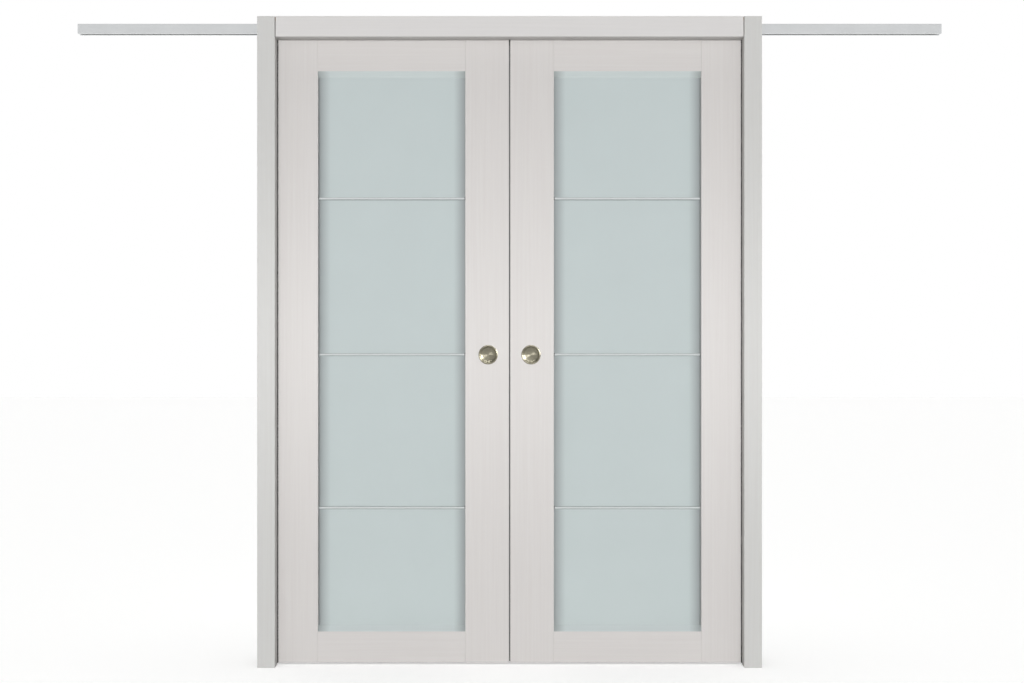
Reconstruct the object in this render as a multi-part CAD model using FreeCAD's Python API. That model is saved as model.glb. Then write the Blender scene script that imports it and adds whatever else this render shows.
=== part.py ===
import FreeCAD, Part
import math
import os

# Double pocket door: two glazed leaves that hang from a track and slide apart into the wall.
# X runs across the doorway, Y from the front of the wall to its back and Z up from the floor.
# The origin is on the floor, at the middle of the doorway and of the wall. Sizes are in millimetres.

# Door leaf
LEAF_WIDTH = 762.0
LEAF_HEIGHT = 2032.0
LEAF_THICKNESS = 40.0
LEAF_TRAVEL = 640.0
FLOOR_GAP = 5.0
MEETING_GAP = 4.0
STILE_WIDTH = 142.0
TOP_RAIL_HEIGHT = 124.0
BOTTOM_RAIL_HEIGHT = 112.0
RAIL_BEVEL = 12.0
LEAF_ARRIS = 1.5

# Dowels between stiles and rails
DOWEL_RADIUS = 5.0
DOWEL_LENGTH = 80.0
DOWEL_INSET = 30.0
DOWEL_SPACING = 46.0

# Glass and glazing bars, with the height of each bar's middle above the bottom rail
GLASS_THICKNESS = 5.0
GLASS_PLAY = 0.4
GROOVE_DEPTH = 9.0
GLASS_EDGE_GAP = 1.0
LOW_BAR_RISE = 389.0
MIDDLE_BAR_RISE = 888.0
HIGH_BAR_RISE = 1396.0
BAR_HEIGHT = 6.0
BAR_FLANGE = 2.4
BAR_WEB = 2.0
BAR_END_GAP = 2.5
BAR_ARRIS = 0.6

# Round cup pull
PULL_HEIGHT = 1004.0
PULL_BACKSET = 67.5
PULL_RADIUS = 31.5
PULL_PROUD = 2.2
PULL_CUP_RADIUS = 26.5
PULL_CUP_DEPTH = 11.0
PULL_COVE = 9.0
PULL_LIP = 1.6
PULL_WALL = 1.4
PULL_CORNER = 3.0
PULL_FIT = 0.2

# Rubber seal on each meeting edge
SEAL_WIDTH = 9.0
SEAL_PROUD = 1.8
SEAL_TONGUE_WIDTH = 4.0
SEAL_TONGUE_DEPTH = 6.0

# Jambs, head and casings
WALL_DEPTH = 116.0
SLOT_CLEARANCE = 5.0
JAMB_THICKNESS = 20.0
JAMB_OVERLAP = 11.0
HEAD_OVERLAP = 12.0
HEAD_BOARD_THICKNESS = 12.0
CASING_THICKNESS = 12.0
SIDE_CASING_WIDTH = 57.0
CASING_JOINT = 2.5
CASING_ARRIS = 1.5
JAMB_ARRIS = 1.0

# Brush seals in the slots
BRUSH_REACH = 0.5
BRUSH_WIDTH = 8.0
BRUSH_BACKING = 1.2
BRUSH_PILE_WIDTH = 4.0
BRUSH_CLEARANCE = 0.3

# Floor guides
GUIDE_HEIGHT = 40.0
GUIDE_CLEARANCE = 0.5
GUIDE_BRUSH_GAP = 0.5
GUIDE_PEG_RADIUS = 3.0
GUIDE_PEG_LENGTH = 10.0
GUIDE_ARRIS = 1.5

# Track and its screws
TRACK_WIDTH = 31.0
TRACK_HEIGHT = 31.0
TRACK_WALL = 2.2
TRACK_SLOT = 11.0
TRACK_ARRIS = 0.8
TRACK_END = 5.0
HANG_GAP = 11.0
TRACK_JOINT = 0.4
TRACK_SCREWS = 6
TRACK_SCREW_INSET = 53.0
TRACK_SCREW_RADIUS = 2.5
TRACK_SCREW_LENGTH = 9.0
TRACK_SCREW_HEAD_RADIUS = 4.5
TRACK_SCREW_HEAD_HEIGHT = 2.4
ARM_SCREW_INSET = 60.0
ARM_HOLE_RADIUS = 2.75
STOP_LENGTH = 30.0
STOP_HEIGHT = 16.0
STOP_GAP = 0.5
STOP_PLAY = 0.3
STOP_ARRIS = 2.0

# Trolley, wheels and hanger
TROLLEY_LENGTH = 70.0
TROLLEY_WIDTH = 13.0
TROLLEY_HEIGHT = 14.0
TROLLEY_ARRIS = 2.0
AXLE_SPACING = 44.0
AXLE_RADIUS = 2.0
WHEEL_RADIUS = 9.5
WHEEL_SIDE_GAP = 0.4
WHEEL_RUN_GAP = 0.2
WHEEL_DISH = 1.2
WHEEL_DISH_RIM = 2.0
WHEEL_HUB_RADIUS = 4.0
WHEEL_ARRIS = 0.6
BEARING_GAP = 0.05
PLATE_LENGTH = 100.0
PLATE_WIDTH = 32.0
PLATE_THICKNESS = 3.0
PLATE_CORNER = 6.0
PLATE_SCREW_SPAN = 70.0
PLATE_SCREW_SPREAD = 19.0
PLATE_SCREW_RADIUS = 2.0
PLATE_SCREW_HEAD_RADIUS = 4.0
PLATE_SCREW_LENGTH = 35.0
BOLT_RADIUS = 4.0
BOLT_FLATS = 13.0
BOLT_HEAD_HEIGHT = 5.3
BOLT_PLAY = 0.4
NUT_HEIGHT = 4.0
MORTISE_RADIUS = 10.0
MORTISE_DEPTH = 10.0
SNUG = 0.05

# Places worked out from those sizes
meeting_edge = MEETING_GAP / 2
outer_edge = meeting_edge + LEAF_WIDTH
sight_inner = meeting_edge + STILE_WIDTH
sight_outer = outer_edge - STILE_WIDTH
leaf_bottom = FLOOR_GAP
leaf_top = leaf_bottom + LEAF_HEIGHT
sight_bottom = leaf_bottom + BOTTOM_RAIL_HEIGHT
sight_top = leaf_top - TOP_RAIL_HEIGHT
leaf_face = LEAF_THICKNESS / 2
groove_face = GLASS_THICKNESS / 2 + GLASS_PLAY
glass_bite = GROOVE_DEPTH - GLASS_EDGE_GAP
bar_heights = [sight_bottom + rise for rise in (LOW_BAR_RISE, MIDDLE_BAR_RISE, HIGH_BAR_RISE)]

slot_face = leaf_face + SLOT_CLEARANCE
wall_face = WALL_DEPTH / 2
trim_face = wall_face + CASING_THICKNESS
jamb_face = outer_edge - JAMB_OVERLAP
jamb_back = jamb_face + JAMB_THICKNESS
trim_edge = jamb_face + SIDE_CASING_WIDTH
brush_inner = jamb_face - BRUSH_REACH
brush_outer = brush_inner + BRUSH_WIDTH
head_bottom = leaf_top - HEAD_OVERLAP
track_bottom = leaf_top + HANG_GAP
track_top = track_bottom + TRACK_HEIGHT
track_roof = track_top - TRACK_WALL
head_top = track_top + HEAD_BOARD_THICKNESS

pull_place = meeting_edge + PULL_BACKSET
inner_hanger = meeting_edge + STILE_WIDTH / 2
outer_hanger = outer_edge - STILE_WIDTH / 2
lip_top = track_bottom + TRACK_WALL
track_inside = TRACK_WIDTH / 2 - TRACK_WALL
axle_height = lip_top + WHEEL_RUN_GAP + WHEEL_RADIUS
wheel_inner = TROLLEY_WIDTH / 2 + WHEEL_SIDE_GAP
wheel_outer = track_inside - WHEEL_SIDE_GAP
trolley_reach = TROLLEY_LENGTH / 2 + STOP_GAP
track_half = outer_hanger + LEAF_TRAVEL + trolley_reach + STOP_LENGTH + TRACK_END
screw_reach = jamb_face - TRACK_SCREW_INSET
screw_places = [screw_reach * (2 * step / (TRACK_SCREWS - 1) - 1) for step in range(TRACK_SCREWS)]

SIDES = {"left": -1, "right": 1}
FACES = {"front": -1, "back": 1}
UP = FreeCAD.Vector(0, 0, 1)
TOUCH = 1e-6


# Plain solids

def block(x, y, z):
    """Box between two values on each axis, given in either order."""
    lows = [min(ends) for ends in (x, y, z)]
    sizes = [abs(ends[1] - ends[0]) for ends in (x, y, z)]
    return Part.makeBox(*sizes, FreeCAD.Vector(*lows))


def both(value):
    """The two ends of a span that is centred on zero."""
    return (-value, value)


def rod(radius, start, direction, length):
    return Part.makeCylinder(radius, length, FreeCAD.Vector(*start), FreeCAD.Vector(*direction))


def runs_along(edge, axis):
    """Whether a straight edge is parallel to one axis: 0, 1 or 2."""
    start, end = [vertex.Point for vertex in edge.Vertexes]
    return all(abs(start[other] - end[other]) < TOUCH for other in range(3) if other != axis)


def lies_on(edge, axis, value):
    return all(abs(vertex.Point[axis] - value) < TOUCH for vertex in edge.Vertexes)


def eased(solid, radius, chosen):
    """The solid with every edge that the test picks rounded off."""
    return solid.makeFillet(radius, [edge for edge in solid.Edges if chosen(edge)])


def eased_bar(x, y, z, axis, radius):
    """Box whose four edges along one axis are rounded off."""
    return eased(block(x, y, z), radius, lambda edge: runs_along(edge, axis))


def hexagon(flats, x, z, height):
    """Upright six-sided prism on the track's centre line, from z up."""
    corner = flats / 2 / math.cos(math.pi / 6)
    turns = [step * math.pi / 3 for step in range(7)]
    ring = [FreeCAD.Vector(x + corner * math.cos(t), corner * math.sin(t), z) for t in turns]
    return Part.Face(Part.makePolygon(ring)).extrude(UP * height)


def turned(points):
    """Solid of revolution about Z from a closed outline of (radius, height) points.

    A stretch that is a pair of points is an arc: it passes through the first and ends at the second.
    """
    edges = []
    here = points[0]
    for stretch in points[1:] + points[:1]:
        if isinstance(stretch[0], tuple):
            middle, there = stretch
            spots = [FreeCAD.Vector(radius, 0, height) for radius, height in (here, middle, there)]
            edges.append(Part.Arc(*spots).toShape())
        else:
            there = stretch
            spots = [FreeCAD.Vector(radius, 0, height) for radius, height in (here, there)]
            edges.append(Part.LineSegment(*spots).toShape())
        here = there
    return Part.Face(Part.Wire(edges)).revolve(FreeCAD.Vector(), UP, 360)


def quarter(centre, radius, degrees):
    """Middle and end of a 90 degree arc about a centre that starts at the given bearing."""
    def spot(bearing):
        angle = math.radians(bearing)
        return (centre[0] + radius * math.cos(angle), centre[1] + radius * math.sin(angle))
    start, turn = degrees
    return (spot(start + turn / 2), spot(start + turn))


def write(node, *solids):
    shape = solids[0] if len(solids) == 1 else Part.makeCompound(list(solids))
    shape.exportStep(f"parts/{node}.step")


# Wall frame: casings, jambs, head and seals

def side_casing(side, face):
    """Flat board that covers the joint between jamb and wall, from the floor to the head."""
    outside = face * trim_face
    board = block((side * jamb_face, side * trim_edge), (face * wall_face, outside), (0, head_top))
    return eased(board, CASING_ARRIS, lambda edge: lies_on(edge, 1, outside) and not lies_on(edge, 2, 0))


def head_casing(face):
    """Flat board that butts between the two side casings."""
    outside = face * trim_face
    board = block(both(jamb_face - CASING_JOINT), (face * wall_face, outside), (head_bottom, head_top))
    return eased(board, CASING_ARRIS, lambda edge: lies_on(edge, 1, outside))


def guide_peg(side, face, radius):
    """Peg of a floor guide, or the hole for it, in the slot side of the jamb's foot."""
    middle = side * (brush_outer + GUIDE_BRUSH_GAP + jamb_back) / 2
    return rod(radius, (middle, face * slot_face, GUIDE_HEIGHT / 2), (0, face, 0), GUIDE_PEG_LENGTH)


def side_jamb(side, face):
    """One half of the split jamb, on one side of the slot that the leaf slides through."""
    spans = ((side * jamb_face, side * jamb_back), (face * slot_face, face * wall_face), (0, track_top))
    jamb = eased_bar(*spans, 2, JAMB_ARRIS)
    return jamb.cut(guide_peg(side, face, GUIDE_PEG_RADIUS + SNUG))


def head_jamb(face):
    """One half of the split head, which hides the track."""
    depth = (face * slot_face, face * wall_face)
    return eased_bar(both(jamb_face), depth, (head_bottom, track_top), 0, JAMB_ARRIS)


def track_screw_shank(x, play):
    """Shank of a screw up through the track's roof into the head board, or the hole for it."""
    length = TRACK_WALL + TRACK_SCREW_LENGTH + play
    return rod(TRACK_SCREW_RADIUS + play, (x, 0, track_roof), (0, 0, 1), length)


def track_screw(x):
    """Pan-head screw whose head bears on the track's roof from inside."""
    head = rod(TRACK_SCREW_HEAD_RADIUS, (x, 0, track_roof), (0, 0, -1), TRACK_SCREW_HEAD_HEIGHT)
    return track_screw_shank(x, 0).fuse(head).removeSplitter()


def head_board():
    """Plywood board on top of the jambs, which carries the track."""
    board = block(both(jamb_back), both(wall_face), (track_top, head_top))
    return board.cut([track_screw_shank(x, SNUG) for x in screw_places])


def arm_hole_places():
    near = jamb_back + ARM_SCREW_INSET
    far = track_half - ARM_SCREW_INSET
    return [side * place for side in SIDES.values() for place in (near, far)]


def track_strips(side):
    """Roof, walls and wheel lips of the box track, from the middle of the doorway to the end of one pocket."""
    span = (side * TRACK_JOINT / 2, side * track_half)
    screw_holes = [track_screw_shank(x, SNUG) for x in screw_places]
    arm_holes = [rod(ARM_HOLE_RADIUS, (x, 0, track_roof), (0, 0, 1), TRACK_WALL) for x in arm_hole_places()]
    strips = [block(span, both(track_inside), (track_roof, track_top)).cut(screw_holes + arm_holes)]
    for face in FACES.values():
        outside = face * TRACK_WIDTH / 2
        wall = block(span, (face * track_inside, outside), (track_bottom, track_top))
        strips.append(eased(wall, TRACK_ARRIS, lambda edge: runs_along(edge, 0) and lies_on(edge, 1, outside)))
        strips.append(block(span, (face * TRACK_SLOT / 2, face * track_inside), (track_bottom, lip_top)))
    return strips


def track_stop(near):
    """Block clamped on the track's lips, from its near end outwards along X."""
    far = near + math.copysign(STOP_LENGTH, near)
    spans = ((near, far), both(track_inside - STOP_PLAY), (lip_top, lip_top + STOP_HEIGHT))
    return eased(block(*spans), STOP_ARRIS, lambda edge: runs_along(edge, 1))


def track_stops():
    """A closing stop and an opening stop for each leaf."""
    closed = inner_hanger - trolley_reach - STOP_LENGTH
    opened = outer_hanger + LEAF_TRAVEL + trolley_reach
    return [track_stop(side * place) for side in SIDES.values() for place in (closed, opened)]


def brush_seal(side, face):
    """Backing strip on the slot side of a jamb, with a band of pile towards the leaf."""
    backing_face = face * (slot_face - BRUSH_BACKING)
    height = (leaf_bottom, head_bottom)
    backing = block((side * brush_inner, side * brush_outer), (face * slot_face, backing_face), height)
    pile_span = (side * brush_inner, side * (brush_inner + BRUSH_PILE_WIDTH))
    pile = block(pile_span, (backing_face, face * (leaf_face + BRUSH_CLEARANCE)), height)
    return backing.fuse(pile).removeSplitter()


def floor_guide(side, face):
    """Moulded pad at the foot of a jamb that keeps the leaf in the middle of its slot."""
    span = (side * (brush_outer + GUIDE_BRUSH_GAP), side * jamb_back)
    rubbing = face * (leaf_face + GUIDE_CLEARANCE)
    pad = block(span, (face * slot_face, rubbing), (0, GUIDE_HEIGHT))
    pad = eased(pad, GUIDE_ARRIS, lambda edge: lies_on(edge, 1, rubbing) and runs_along(edge, 2))
    return pad.fuse(guide_peg(side, face, GUIDE_PEG_RADIUS)).removeSplitter()


# Door leaf: stiles, rails, glass, bars, pulls and seal

def stile_groove(side):
    """Glass groove along the inner edges of both stiles, with room for the panes' corners."""
    span = (side * (sight_inner - GROOVE_DEPTH), side * (sight_outer + GROOVE_DEPTH))
    return block(span, both(groove_face), (sight_bottom - GROOVE_DEPTH, sight_top + GROOVE_DEPTH))


def dowel_places(side):
    """Joint line and height of every dowel in one leaf."""
    low = leaf_bottom + DOWEL_INSET
    high = leaf_top - DOWEL_INSET
    heights = (low, low + DOWEL_SPACING, high - DOWEL_SPACING, high)
    return [(side * joint, z) for joint in (sight_inner, sight_outer) for z in heights]


def dowels(side, play):
    """Fluted pegs across the joints, or the holes for them."""
    half = DOWEL_LENGTH / 2 + play
    return [rod(DOWEL_RADIUS + play, (x - half, 0, z), (1, 0, 0), 2 * half) for x, z in dowel_places(side)]


def hanger_cuts(x):
    """Mortise for a bolt's head and pilot holes for a plate's screws, in the top of a stile."""
    mortise = rod(MORTISE_RADIUS, (x, 0, leaf_top), (0, 0, -1), MORTISE_DEPTH)
    return [mortise] + plate_screws(x, SNUG)


def pull_pocket(side, face):
    """Blind bore in the face of the meeting stile that takes the cup of a pull."""
    mouth = (side * pull_place, face * leaf_face, PULL_HEIGHT)
    depth = PULL_CUP_DEPTH + PULL_WALL + PULL_FIT
    return rod(PULL_CUP_RADIUS + PULL_WALL + PULL_FIT, mouth, (0, -face, 0), depth)


def seal_tongue(side):
    span = (side * meeting_edge, side * (meeting_edge + SEAL_TONGUE_DEPTH))
    return block(span, both(SEAL_TONGUE_WIDTH / 2), (leaf_bottom, leaf_top))


def outer_stile(side):
    span = (side * sight_outer, side * outer_edge)
    stile = eased_bar(span, both(leaf_face), (leaf_bottom, leaf_top), 2, LEAF_ARRIS)
    return stile.cut([stile_groove(side)] + dowels(side, SNUG) + hanger_cuts(side * outer_hanger))


def meeting_stile(side):
    span = (side * meeting_edge, side * sight_inner)
    stile = eased_bar(span, both(leaf_face), (leaf_bottom, leaf_top), 2, LEAF_ARRIS)
    pockets = [pull_pocket(side, face) for face in FACES.values()]
    cuts = [stile_groove(side), seal_tongue(side)] + pockets + dowels(side, SNUG)
    return stile.cut(cuts + hanger_cuts(side * inner_hanger))


def rail(side, outer, inner):
    """Cross rail between the stiles, bevelled and grooved for the glass along its inner edge."""
    bar = block((side * sight_inner, side * sight_outer), both(leaf_face), (outer, inner))
    bar = eased(bar, LEAF_ARRIS, lambda edge: runs_along(edge, 0) and lies_on(edge, 2, outer))
    bar = bar.makeChamfer(RAIL_BEVEL, [edge for edge in bar.Edges if runs_along(edge, 0) and lies_on(edge, 2, inner)])
    return bar.cut([stile_groove(side)] + dowels(side, SNUG))


def panes(side):
    """Four panes, from the bottom up, each standing on the rail or bar below it."""
    span = (side * (sight_inner - glass_bite), side * (sight_outer + glass_bite))
    feet = [sight_bottom - GROOVE_DEPTH] + [z + BAR_WEB / 2 for z in bar_heights]
    heads = [z - BAR_WEB / 2 for z in bar_heights] + [sight_top + glass_bite]
    return [block(span, both(GLASS_THICKNESS / 2), ends) for ends in zip(feet, heads)]


def glazing_bar(side, z):
    """Aluminium H-bar between two panes, whose web runs on into the stiles' grooves."""
    shown = (side * (sight_inner + BAR_END_GAP), side * (sight_outer - BAR_END_GAP))
    hidden = (side * (sight_inner - glass_bite), side * (sight_outer + glass_bite))
    web_height = (z - BAR_WEB / 2, z + BAR_WEB / 2)
    tongue = block(hidden, both(GLASS_THICKNESS / 2), web_height)
    bar = tongue.fuse(block(shown, both(groove_face), web_height))
    for face in FACES.values():
        outside = face * (groove_face + BAR_FLANGE)
        flange = block(shown, (face * groove_face, outside), (z - BAR_HEIGHT / 2, z + BAR_HEIGHT / 2))
        flange = eased(flange, BAR_ARRIS, lambda edge: runs_along(edge, 0) and lies_on(edge, 1, outside))
        bar = bar.fuse(flange)
    return bar.removeSplitter()


def cup_pull(side, face):
    """Spun metal cup with a rolled rim, pressed into the meeting stile."""
    back = -(PULL_CUP_DEPTH + PULL_WALL)
    sleeve = PULL_CUP_RADIUS + PULL_WALL
    floor_radius = PULL_CUP_RADIUS - PULL_COVE
    cup = turned([
        (0, back),
        (sleeve - PULL_CORNER, back),
        quarter((sleeve - PULL_CORNER, back + PULL_CORNER), PULL_CORNER, (-90, 90)),
        (sleeve, 0),
        (PULL_RADIUS, 0),
        quarter((PULL_RADIUS - PULL_PROUD, 0), PULL_PROUD, (0, 90)),
        (PULL_CUP_RADIUS + PULL_LIP, PULL_PROUD),
        quarter((PULL_CUP_RADIUS + PULL_LIP, PULL_PROUD - PULL_LIP), PULL_LIP, (90, 90)),
        (PULL_CUP_RADIUS, PULL_COVE - PULL_CUP_DEPTH),
        quarter((floor_radius, PULL_COVE - PULL_CUP_DEPTH), PULL_COVE, (0, -90)),
        (0, -PULL_CUP_DEPTH),
    ])
    cup.rotate(FreeCAD.Vector(), FreeCAD.Vector(1, 0, 0), -90 * face)
    cup.translate(FreeCAD.Vector(side * pull_place, face * leaf_face, PULL_HEIGHT))
    return cup


def meeting_seal(side):
    """Rubber strip whose tongue fills a groove in the meeting edge."""
    span = (side * (meeting_edge - SEAL_PROUD), side * meeting_edge)
    nose = block(span, both(SEAL_WIDTH / 2), (leaf_bottom, leaf_top))
    return nose.fuse(seal_tongue(side)).removeSplitter()


# Hangers: plates, bolts, trolleys and wheels

def plate_screws(x, play):
    """Four countersunk wood screws through one hanger plate, or the holes for them."""
    plate_top = leaf_top + PLATE_THICKNESS
    cone_height = PLATE_SCREW_HEAD_RADIUS - PLATE_SCREW_RADIUS
    screws = []
    for across in both(PLATE_SCREW_SPAN / 2):
        for deep in both(PLATE_SCREW_SPREAD / 2):
            head = (x + across, deep, plate_top)
            shank = rod(PLATE_SCREW_RADIUS + play, head, (0, 0, -1), PLATE_SCREW_LENGTH + play)
            wide = PLATE_SCREW_HEAD_RADIUS + play
            narrow = PLATE_SCREW_RADIUS + play
            cone = Part.makeCone(wide, narrow, cone_height, FreeCAD.Vector(*head), -UP)
            screws.append(shank.fuse(cone).removeSplitter())
    return screws


def hanger_plate(x):
    """Steel plate on the top of a stile, with a hole for the hanger bolt."""
    plate = eased_bar((x - PLATE_LENGTH / 2, x + PLATE_LENGTH / 2), both(PLATE_WIDTH / 2),
                      (leaf_top, leaf_top + PLATE_THICKNESS), 2, PLATE_CORNER)
    bolt_hole = rod(BOLT_RADIUS + BOLT_PLAY, (x, 0, leaf_top), (0, 0, 1), PLATE_THICKNESS)
    return plate.cut([bolt_hole] + plate_screws(x, SNUG))


def bolt_shank(x, play):
    """Shank of a hanger bolt from the plate's underside to the trolley's top, or the bore for it."""
    return rod(BOLT_RADIUS + play, (x, 0, leaf_top), (0, 0, 1), axle_height + TROLLEY_HEIGHT / 2 - leaf_top)


def hanger_bolt(x):
    """Bolt whose head sits under the plate and whose shank screws into the trolley."""
    head = hexagon(BOLT_FLATS, x, leaf_top - BOLT_HEAD_HEIGHT, BOLT_HEAD_HEIGHT)
    return bolt_shank(x, 0).fuse(head).removeSplitter()


def lock_nut(x):
    nut = hexagon(BOLT_FLATS, x, leaf_top + PLATE_THICKNESS, NUT_HEIGHT)
    return nut.cut(bolt_shank(x, SNUG))


def axle_places(x):
    """Both axles of the trolley at x, the one nearer the pocket first."""
    half = math.copysign(AXLE_SPACING / 2, x)
    return (x + half, x - half)


def axle_pin(x, play):
    reach = wheel_outer + play
    return rod(AXLE_RADIUS + play, (x, -reach, axle_height), (0, 1, 0), 2 * reach)


def trolley(x):
    """Body that carries two axles above the track's slot."""
    spans = ((x - TROLLEY_LENGTH / 2, x + TROLLEY_LENGTH / 2), both(TROLLEY_WIDTH / 2),
             (axle_height - TROLLEY_HEIGHT / 2, axle_height + TROLLEY_HEIGHT / 2))
    body = eased_bar(*spans, 1, TROLLEY_ARRIS)
    return body.cut([bolt_shank(x, SNUG)] + [axle_pin(place, SNUG) for place in axle_places(x)])


def wheel(x, face):
    """Nylon wheel with a dished outer side, which runs on one lip of the track."""
    width = wheel_outer - wheel_inner
    bore = AXLE_RADIUS + BEARING_GAP
    dish_edge = WHEEL_RADIUS - WHEEL_DISH_RIM
    tread = turned([
        (bore, 0),
        (WHEEL_RADIUS - WHEEL_ARRIS, 0),
        quarter((WHEEL_RADIUS - WHEEL_ARRIS, WHEEL_ARRIS), WHEEL_ARRIS, (-90, 90)),
        (WHEEL_RADIUS, width - WHEEL_ARRIS),
        quarter((WHEEL_RADIUS - WHEEL_ARRIS, width - WHEEL_ARRIS), WHEEL_ARRIS, (0, 90)),
        (dish_edge, width),
        (dish_edge, width - WHEEL_DISH),
        (WHEEL_HUB_RADIUS, width - WHEEL_DISH),
        (WHEEL_HUB_RADIUS, width),
        (bore, width),
    ])
    tread.rotate(FreeCAD.Vector(), FreeCAD.Vector(1, 0, 0), -90 * face)
    tread.translate(FreeCAD.Vector(x, face * wheel_inner, axle_height))
    return tread


# Every node of the frame, then of each leaf

os.makedirs("parts", exist_ok=True)

for face_name, face in FACES.items():
    write(f"head_casing_{face_name}", head_casing(face))
    write(f"head_jamb_{face_name}", head_jamb(face))
    for side_name, side in SIDES.items():
        write(f"{side_name}_casing_{face_name}", side_casing(side, face))
        write(f"{side_name}_jamb_{face_name}", side_jamb(side, face))

corners = [(side, face) for side in SIDES.values() for face in FACES.values()]
write("head_board", head_board())
write("track", *track_strips(SIDES["left"]), *track_strips(SIDES["right"]))
write("track_screws", *[track_screw(x) for x in screw_places])
write("track_stops", *track_stops())
write("brush_seals", *[brush_seal(side, face) for side, face in corners])
write("floor_guides", *[floor_guide(side, face) for side, face in corners])

for side_name, side in SIDES.items():
    write(f"{side_name}_outer_stile", outer_stile(side))
    write(f"{side_name}_meeting_stile", meeting_stile(side))
    write(f"{side_name}_top_rail", rail(side, leaf_top, sight_top))
    write(f"{side_name}_bottom_rail", rail(side, leaf_bottom, sight_bottom))
    write(f"{side_name}_dowels", *dowels(side, 0))
    for pane_name, pane in zip(("bottom", "lower", "upper", "top"), panes(side)):
        write(f"{side_name}_{pane_name}_pane", pane)
    write(f"{side_name}_glazing_bars", *[glazing_bar(side, z) for z in bar_heights])
    for face_name, face in FACES.items():
        write(f"{side_name}_pull_{face_name}", cup_pull(side, face))
    write(f"{side_name}_meeting_seal", meeting_seal(side))

    hangers = {"inner": side * inner_hanger, "outer": side * outer_hanger}
    write(f"{side_name}_hanger_plates", *[hanger_plate(x) for x in hangers.values()])
    fasteners = []
    for x in hangers.values():
        fasteners += [hanger_bolt(x), lock_nut(x)] + plate_screws(x, 0)
    write(f"{side_name}_hanger_fasteners", *fasteners)
    write(f"{side_name}_trolleys", *[trolley(x) for x in hangers.values()])
    axles = [place for x in hangers.values() for place in axle_places(x)]
    write(f"{side_name}_axle_pins", *[axle_pin(place, 0) for place in axles])
    for hanger_name, x in hangers.items():
        for axle_name, place in zip(("lead", "trail"), axle_places(x)):
            pair = [wheel(place, face) for face in FACES.values()]
            write(f"{side_name}_{hanger_name}_{axle_name}_wheels", *pair)
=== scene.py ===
import math

import bpy
from mathutils import Matrix, Vector


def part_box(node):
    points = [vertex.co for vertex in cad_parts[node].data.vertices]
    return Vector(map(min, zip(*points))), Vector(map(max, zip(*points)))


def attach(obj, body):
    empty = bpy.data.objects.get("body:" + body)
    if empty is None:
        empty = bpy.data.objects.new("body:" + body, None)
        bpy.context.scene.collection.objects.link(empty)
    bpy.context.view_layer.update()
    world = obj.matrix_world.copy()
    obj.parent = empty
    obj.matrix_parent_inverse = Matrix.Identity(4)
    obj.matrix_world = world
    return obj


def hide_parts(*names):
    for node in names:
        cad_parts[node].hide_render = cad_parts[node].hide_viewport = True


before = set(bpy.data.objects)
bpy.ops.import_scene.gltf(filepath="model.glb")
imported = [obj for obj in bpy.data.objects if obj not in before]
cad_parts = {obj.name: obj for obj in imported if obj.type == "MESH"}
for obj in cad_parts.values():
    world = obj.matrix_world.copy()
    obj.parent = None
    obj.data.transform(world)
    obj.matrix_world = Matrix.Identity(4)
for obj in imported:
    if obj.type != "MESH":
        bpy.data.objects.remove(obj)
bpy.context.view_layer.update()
scene = bpy.context.scene


# Split jambs
# Pairs of laminated boards line the doorway's sides and head, with a slot between them for the leaves.
# The laminate is pressed printed paper: satin, off-white, with short fine pores along the board.
SIDES = {"left": -1, "right": 1}
FACES = {"front": -1, "back": 1}
PORE_WIDTH = 0.0011
PORE_LENGTH = 0.055
STREAK_WIDTH = 0.007
STREAK_LENGTH = 0.42
LIGHT_BAND_REACH = 0.0188
LIGHT_BAND_BLEND = 0.0004


def linear(colour):
    """An sRGB hex colour as linear red, green, blue and alpha."""
    shares = [int(colour[k:k + 2], 16) / 255 for k in (1, 3, 5)]
    return [s / 12.92 if s <= 0.04045 else ((s + 0.055) / 1.055) ** 2.4 for s in shares] + [1.0]


def add(tree, kind, inputs=None, **settings):
    """Add one shader node, then set or link its inputs, which are named or numbered."""
    made = tree.nodes.new(kind)
    for name, value in settings.items():
        setattr(made, name, value)
    for key, value in (inputs or {}).items():
        if isinstance(value, bpy.types.NodeSocket):
            tree.links.new(value, made.inputs[key])
        else:
            made.inputs[key].default_value = value
    return made


def new_material(name):
    """An empty material and its node tree."""
    material = bpy.data.materials.new(name)
    material.use_nodes = True
    material.node_tree.nodes.clear()
    return material, material.node_tree


def dress(material, *names):
    """Put a material on CAD nodes."""
    for name in names:
        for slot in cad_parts[name].material_slots:
            slot.material = material


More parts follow.
